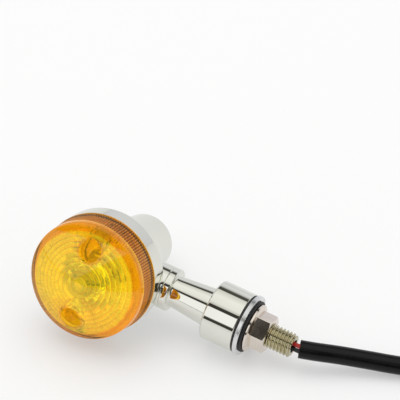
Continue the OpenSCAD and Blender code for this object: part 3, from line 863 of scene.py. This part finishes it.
tungsten = finish("drawn_tungsten", (0.30, 0.29, 0.28), (0.22, 0.21, 0.2),
                  (0.4, 0.39, 0.38), 0.3, 0.45, patch_scale=800, Metallic=1.0)
coil_length, coil_height = 4.2, 1.4
post_aside, post_radius = 2.3, 0.28
coil_sizes = {"Turns": 11.0, "Coil Radius": 0.5, "Wire Radius": 0.1,
              "Length": coil_length}
coil_tree, given, end = size_tree("filament_coil", coil_sizes)
winding = step(coil_tree, "GeometryNodeCurveSpiral", {
    "Resolution": 12, "Rotations": given["Turns"], "Start Radius": given["Coil Radius"],
    "End Radius": given["Coil Radius"], "Height": given["Length"]})
section = step(coil_tree, "GeometryNodeCurvePrimitiveCircle", {
    "Resolution": 6, "Radius": given["Wire Radius"]})
wound = step(coil_tree, "GeometryNodeCurveToMesh", {
    "Curve": winding.outputs[0], "Profile Curve": section.outputs[0], "Fill Caps": True})
laid = step(coil_tree, "GeometryNodeTransform", {
    "Geometry": wound.outputs[0], "Rotation": (0.0, math.radians(90), 0.0),
    "Translation": (-0.5 * coil_length, 0.0, coil_height)})
both = step(coil_tree, "GeometryNodeJoinGeometry", {})
coil_tree.links.new(given["Geometry"].socket, both.inputs[0])
coil_tree.links.new(laid.outputs[0], both.inputs[0])
give_plain(coil_tree, both.outputs[0], given, end)
posts = joined("filament_posts", [
    moved(turned("post", [(0, -7.0, 0), (post_radius, -7.0, 0), (post_radius, 1.5, 0.1),
                          (0, 1.5, 0)], 16, False),
          Matrix.Translation((side * post_aside, 0, 0)))
    for side in (-1, 1)])
new_piece("filament", settle(shaped(
    posts, coil_tree, {**coil_sizes, "Material": tungsten}), lamp_frame, tungsten),
    "head", "tungsten", "bulb_filament")

# Bulb base and socket
# These are out of sight in the tail: brass base and contact, a zinc-plated socket with
# its phenolic disc and spring, and the two wires that run back along it.
phenolic = finish("phenolic_board", (0.20, 0.075, 0.03), (0.26, 0.10, 0.045),
                  (0.3, 0.14, 0.07), 0.4, 0.6, patch_scale=300, grain=0.03)
spring_steel = finish("spring_steel", (0.55, 0.55, 0.56), (0.42, 0.42, 0.44),
                      (0.68, 0.68, 0.68), 0.25, 0.4, patch_scale=300, Metallic=1.0)
rubber = finish("black_rubber", (0.014, 0.014, 0.014), (0.024, 0.024, 0.024),
                (0.05, 0.05, 0.05), 0.45, 0.68, patch_scale=150, grain_scale=1800,
                grain=0.06)
for node, material in (("bulb_base", brass), ("centre_contact", brass),
                       ("socket_shell", zinc), ("socket_insulator", phenolic),
                       ("contact_spring", spring_steel), ("head_wire_red", red_vinyl),
                       ("head_wire_black", black_vinyl), ("lens_gasket", rubber),
                       ("swivel_nut", zinc), ("swivel_spring_washer", spring_steel)):
    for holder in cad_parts[node].material_slots:
        holder.material = material

# Stem
# Another chromed casting: a spigot that turns in the boss, a round flange, a tapered
# neck, and the thick collar that the stud is screwed into and that sits on the bracket.
collar_end, stud_from = 60.65, 48.65
stem_outline = [
    (4.5, 11.0, 0.3), (4.5, boss_end, 0), (boss_radius, boss_end, 0.4),
    (boss_radius, 28.5, 0.7), (6.5, 28.5, 0.9), (8.2, 46.3, 0.5), (11.9, 46.3, 0.35),
    (12.5, 46.95, 0.5), (12.5, collar_end, 0.45), (5.02, collar_end, 0.3),
    (5.02, stud_from, 0), (2.6, stud_from, 0), (2.6, 11.0, 0.2)]
new_piece("stem_casting", settle(turned("stem_casting", stem_outline, 240), stem_frame,
                                 chrome, 40), "mount", "chrome", "stem")

# Stud
# A hollow steel stud, M10 with a pitch of 1.5, plated with yellow zinc. The wires pass
# through its bore. A tree cuts the thread into its rows of points, which follow the pitch.
pitch, thread_depth = 1.5, 0.85
stud_radius, stud_bore, crest_radius, tip_radius = 5.0, 2.8, 4.99, 4.3
stud_to = 82.85
rows_per_turn, stud_around = 12, 64


def ring_point(form, r, turn_at, high):
    """A new point of a mesh, a share of a turn round the axis."""
    angle = 2 * math.pi * turn_at
    return form.verts.new((r * math.cos(angle), r * math.sin(angle), high))


thread_mesh = bmesh.new()
row_count = int((stud_to - stud_from + pitch) / pitch * rows_per_turn) + 1
rows = []
for i in range(row_count):
    row = []
    for k in range(stud_around):
        turn_at = k / stud_around
        high = stud_from - pitch + (i / rows_per_turn + turn_at) * pitch
        high = min(max(high, stud_from), stud_to)
        row.append(ring_point(thread_mesh, stud_radius, turn_at, high))
    rows.append(row)
bores = [[ring_point(thread_mesh, stud_bore, k / stud_around, high)
          for k in range(stud_around)] for high in (stud_from, stud_to)]
for i in range(row_count - 1):
    for k in range(stud_around - 1):
        thread_mesh.faces.new((rows[i][k], rows[i][k + 1], rows[i + 1][k + 1],
                               rows[i + 1][k]))
    if i + rows_per_turn + 1 < row_count:
        thread_mesh.faces.new((rows[i][-1], rows[i + rows_per_turn][0],
                               rows[i + rows_per_turn + 1][0], rows[i + 1][-1]))
for k in range(stud_around):
    n = (k + 1) % stud_around
    thread_mesh.faces.new((rows[-1][k], rows[-1][n], bores[1][n], bores[1][k]))
    thread_mesh.faces.new((rows[0][n], rows[0][k], bores[0][k], bores[0][n]))
    thread_mesh.faces.new((bores[1][k], bores[1][n], bores[0][n], bores[0][k]))
bmesh.ops.remove_doubles(thread_mesh, verts=thread_mesh.verts, dist=1e-4)
bmesh.ops.recalc_face_normals(thread_mesh, faces=thread_mesh.faces)
stud_mesh = bpy.data.meshes.new("stud_thread")
thread_mesh.to_mesh(stud_mesh)
thread_mesh.free()
thread_sizes = {
    "Pitch": pitch, "Depth": thread_depth, "Crest Radius": crest_radius,
    "Start": stud_from, "Tip": stud_to, "Tip Radius": tip_radius}
thread, given, end = size_tree("stud_thread", thread_sizes)
x, y, z = place_of(thread)
radius = length_of(x, y)
turned_at = y.through("ARCTAN2", x) / (2 * math.pi)
whole_turns = 100.0         # keep the count of turns positive
phase = ((z - given["Start"]) / given["Pitch"] - turned_at + whole_turns).through("FRACT")
crest = phase.spread(0.2, 0.5).through("MINIMUM", phase.spread(1.0, 0.7))
thread_line = given["Crest Radius"] - given["Depth"] * (1.0 - crest)
tip_line = given["Tip Radius"] + (given["Tip"] - z)
scale = thread_line.through("MINIMUM", tip_line) / radius
cut_place = step(thread, "ShaderNodeCombineXYZ", {"X": x * scale, "Y": y * scale, "Z": z})
threaded = step(thread, "GeometryNodeSetPosition", {
    "Geometry": given["Geometry"], "Position": cut_place.outputs[0],
    "Selection": radius > 0.5 * (stud_radius + stud_bore)})
give_plain(thread, threaded.outputs[0], given, end)
yellow_zinc = finish("yellow_zinc", (0.58, 0.53, 0.36), (0.52, 0.48, 0.32),
                     (0.70, 0.66, 0.54), 0.13, 0.22, patch_scale=120, grain_scale=1400,
                     grain=0.01, wear=0.0, Metallic=1.0)
new_piece("threaded_stud", settle(shaped(
    stud_mesh, thread, {**thread_sizes, "Material": yellow_zinc}), stem_frame, yellow_zinc,
    24), "mount", "yellow_zinc", "stud")

# Wires in the stem
# A red and a black wire run side by side through spigot, stem and stud into the sleeve.
wires_end = 86.35           # just inside the sleeve
for colour, aside, vinyl in (("red", 1.05, red_vinyl), ("black", -1.05, black_vinyl)):
    line = [stem_frame @ Vector((0, aside, high)) / MM
            for high in (11.0, 30.0, 50.0, 70.0, 82.0, wires_end)]
    wire = new_piece("stem_wire_" + colour + "_core",
                     tube_mesh("stem_wire_" + colour, line, wire_end, 20), "mount",
                     colour + "_wire", "stem_wire_" + colour)
    wire.data.materials.append(vinyl)

# Washers
# A steel washer between two thin rubber ones, all loose on the stud. The bracket of the
# motorcycle goes between the collar and the nut.
washer_hole = 5.3
steel_from, steel_to, steel_radius = 61.6, 63.4, 12.8
nut_from = 64.35
for name, low, high, outer_r, body, node in (
        ("rubber_ring_inner", collar_end, steel_from, 12.3, "mount",
         "inner_rubber_washer"),
        ("rubber_ring_outer", steel_to, nut_from, 11.0, "washers",
         "outer_rubber_washer")):
    new_piece(name, settle(turned(name, [
        (washer_hole, low, 0.1), (outer_r, low, 0.3), (outer_r, high, 0.3),
        (washer_hole, high, 0.1)], 200), stem_frame, rubber), body, "black_rubber", node)
washer_steel = finish("rolled_zinc_steel", (0.86, 0.87, 0.88), (0.74, 0.75, 0.76),
                      (0.90, 0.90, 0.90), 0.2, 0.34, patch_scale=220, grain_scale=900,
                      grain=0.03, wear=0.5, stretch=(1.0, 0.25, 1.0), Metallic=1.0)
new_piece("steel_ring", settle(turned("steel_ring", [
    (washer_hole, steel_from, 0.15), (steel_radius, steel_from, 0.3),
    (steel_radius, steel_to, 0.3), (washer_hole, steel_to, 0.15)], 200),
    stem_frame, washer_steel), "washers", "zinc_steel", "steel_washer")

# Nut
# A hexagon flange nut, M10, of nickel-plated steel, with its corners chamfered.
flats, hexagon_low, hexagon_high = 14.0, 0.5, 8.0
corner_bevel = 0.22


def prism(name, corners, low, high):
    """A straight prism over a list of (x, y) corners."""
    form = bmesh.new()
    ends = [[form.verts.new((px, py, level)) for px, py in corners]
            for level in (low, high)]
    form.faces.new(list(reversed(ends[0])))
    form.faces.new(ends[1])
    for k in range(len(corners)):
        n = (k + 1) % len(corners)
        form.faces.new((ends[0][k], ends[0][n], ends[1][n], ends[1][k]))
    mesh = bpy.data.meshes.new(name)
    form.to_mesh(mesh)
    form.free()
    return mesh


corner_r = flats / 2 / math.cos(math.radians(30))
hexagon_line = []
for k in range(6):
    at = math.radians(60 * k)
    corner = Vector((corner_r * math.cos(at), corner_r * math.sin(at)))
    for turn_back in (-1, 1):
        beside = math.radians(60 * (k + turn_back))
        other = Vector((corner_r * math.cos(beside), corner_r * math.sin(beside)))
        hexagon_line.append(tuple(corner + (other - corner).normalized() * corner_bevel))
hexagon = prism("hexagon", hexagon_line, hexagon_low, hexagon_high)
chamfer = turned("chamfer", [
    (0, hexagon_low, 0), (12.0, hexagon_low, 0), (12.0, 5.2, 0),
    (0.5 * flats, hexagon_high, 0.2), (0, hexagon_high, 0)], 120, False)
nut_flange = turned("nut_flange", [
    (0, 0, 0), (9.6, 0, 0.25), (10.0, 0.5, 0.3), (10.0, 1.3, 0.35), (8.3, 2.0, 0.5),
    (0, 2.2, 0)], 160, False)
nut_mesh = cut(cut(hexagon, chamfer, "INTERSECT"), nut_flange, "UNION")
nut_mesh = cut(nut_mesh, turned("nut_bore", [
    (0, -1, 0), (5.9, -1, 0), (5.05, 0.6, 0), (5.05, 7.3, 0), (5.85, 8.6, 0), (0, 8.6, 0)],
    96, False), "DIFFERENCE")
nickel = finish("warm_nickel", (0.88, 0.80, 0.72), (0.80, 0.72, 0.65),
                (0.90, 0.85, 0.79), 0.07, 0.14, patch_scale=220, grain_scale=900,
                grain=0.004, wear=0.5, Metallic=1.0)
new_piece("hexagon_nut", settle(
    nut_mesh, stem_frame @ Matrix.Translation((0, 0, nut_from)), nickel, 20),
    "nut", "nickel_steel", "flange_nut")

# Studio
# A white table under a big soft light, with a white panel in front on the left and dark
# gaps between them that the chrome shows as stripes.
reach = 30.0                # so far out that its edge lies on the horizon
floor_mesh = bpy.data.meshes.new("table_top")
floor_mesh.from_pydata([(-reach, -reach, 0), (reach, -reach, 0), (reach, reach, 0),
                        (-reach, reach, 0)], [], [(0, 1, 2, 3)])
table_top = bpy.data.objects.new("table_top", floor_mesh)
bpy.context.scene.collection.objects.link(table_top)
paint = bpy.data.materials.new("white_table")
paint.use_nodes = True
surface = paint.node_tree.nodes["Principled BSDF"]
surface.inputs["Base Color"].default_value = (0.93, 0.93, 0.925, 1)
surface.inputs["Roughness"].default_value = 0.28
surface.inputs["Specular IOR Level"].default_value = 0.3
# The camera and clear parts see it partly lit up, so its shadows stay light, and mirrors
# see it partly as a light grey.
lit_share, grey_share = 0.35, 0.6
lights_up = step(paint.node_tree, "ShaderNodeEmission", {"Color": (1, 1, 1, 1)})
grey_top = step(paint.node_tree, "ShaderNodeEmission", {"Color": (0.74, 0.74, 0.73, 1)})
sight = step(paint.node_tree, "ShaderNodeLightPath", {})
seen_direct = Reading(paint.node_tree, sight.outputs["Is Camera Ray"]).through(
    "MAXIMUM", sight.outputs["Is Transmission Ray"])
mirrored_by = Reading(paint.node_tree, sight.outputs["Is Glossy Ray"])
lit_face = step(paint.node_tree, "ShaderNodeMixShader", {
    0: seen_direct * lit_share, 1: surface.outputs["BSDF"], 2: lights_up.outputs["Emission"]})
table_face = step(paint.node_tree, "ShaderNodeMixShader", {
    0: mirrored_by * grey_share, 1: lit_face.outputs[0], 2: grey_top.outputs["Emission"]})
paint.node_tree.links.new(
    table_face.outputs[0], paint.node_tree.nodes["Material Output"].inputs["Surface"])
floor_mesh.materials.append(paint)

studio = bpy.data.worlds.new("studio")
bpy.context.scene.world = studio
studio.use_nodes = True
tree = studio.node_tree
tree.nodes.clear()
ray = step(tree, "ShaderNodeLightPath", {})
sky_way = step(tree, "ShaderNodeTexCoord", {}).outputs["Generated"]
way = step(tree, "ShaderNodeSeparateXYZ", {"Vector": sky_way})
toward_back, up = Reading(tree, way.outputs["Y"]), Reading(tree, way.outputs["Z"])
# The angle from the front horizon over the top to the back horizon, as 0 to 1
arch = up.through("ARCTAN2", toward_back * -1.0) / math.pi
bands = step(tree, "ShaderNodeValToRGB", {"Fac": arch})
gap = (0.045, 0.042, 0.034)
bright = (1.0, 1.0, 0.99)
stops = [(0.0, gap), (1.2, gap), (2.2, bright), (48.5, bright),
         (50.0, gap), (60.5, gap), (62.5, (0.62, 0.61, 0.57)), (72.0, (0.90, 0.89, 0.85)),
         (100.0, (0.96, 0.955, 0.92)), (125.0, (0.72, 0.71, 0.67)),
         (128.5, (0.06, 0.06, 0.05)), (140.0, (0.08, 0.08, 0.07)),
         (147.0, (0.62, 0.62, 0.62)), (158.0, (0.78, 0.78, 0.80)),
         (180.0, (0.66, 0.66, 0.69))]
set_ramp(bands.color_ramp, [(degrees / 180, shade) for degrees, shade in stops])
# The front panel ends at a slanted edge; right of it the front is dark
across_edge, front_end = (-0.65, 0.367, 0.664), 0.3
panel_side = step(tree, "ShaderNodeVectorMath", {0: sky_way, 1: across_edge},
                  operation="DOT_PRODUCT").outputs["Value"]
edge_from, edge_to = -0.09, -0.05   # the edge is this soft
panel = Reading(tree, panel_side).spread(edge_from, edge_to)
dark_front = (arch < front_end) * (1.0 - panel)
shaded = blended(tree, dark_front.socket, bands.outputs["Color"], gap)
daylight = 0.82             # the strength at which the sky lights the object
white = (1, 1, 1, 1)
lit = step(tree, "ShaderNodeBackground", {"Color": white, "Strength": daylight})
mirrored = step(tree, "ShaderNodeBackground", {"Color": shaded, "Strength": 1.0})
backdrop = step(tree, "ShaderNodeBackground", {"Color": white, "Strength": 1.0})
gloss = step(tree, "ShaderNodeMixShader", {
    0: ray.outputs["Is Glossy Ray"], 1: lit.outputs[0], 2: mirrored.outputs[0]})
view = step(tree, "ShaderNodeMixShader", {
    0: Reading(tree, ray.outputs["Is Transmission Ray"]).through(
        "MAXIMUM", ray.outputs["Is Camera Ray"]),
    1: gloss.outputs[0], 2: backdrop.outputs[0]})
output = tree.nodes.new("ShaderNodeOutputWorld")
tree.links.new(view.outputs[0], output.inputs["Surface"])

lamp_data = bpy.data.lights.new("soft_light", "AREA")
lamp_data.shape = "RECTANGLE"
lamp_data.size, lamp_data.size_y = 1.2, 0.9
lamp_data.energy = 4.0
soft_light = bpy.data.objects.new("soft_light", lamp_data)
bpy.context.scene.collection.objects.link(soft_light)
soft_light.location = (-0.2, 0.2, 1.1)
soft_light.rotation_euler = (-soft_light.location).to_track_quat("-Z", "Y").to_euler()
soft_light.visible_glossy = False

bpy.context.scene.view_settings.view_transform = "Standard"
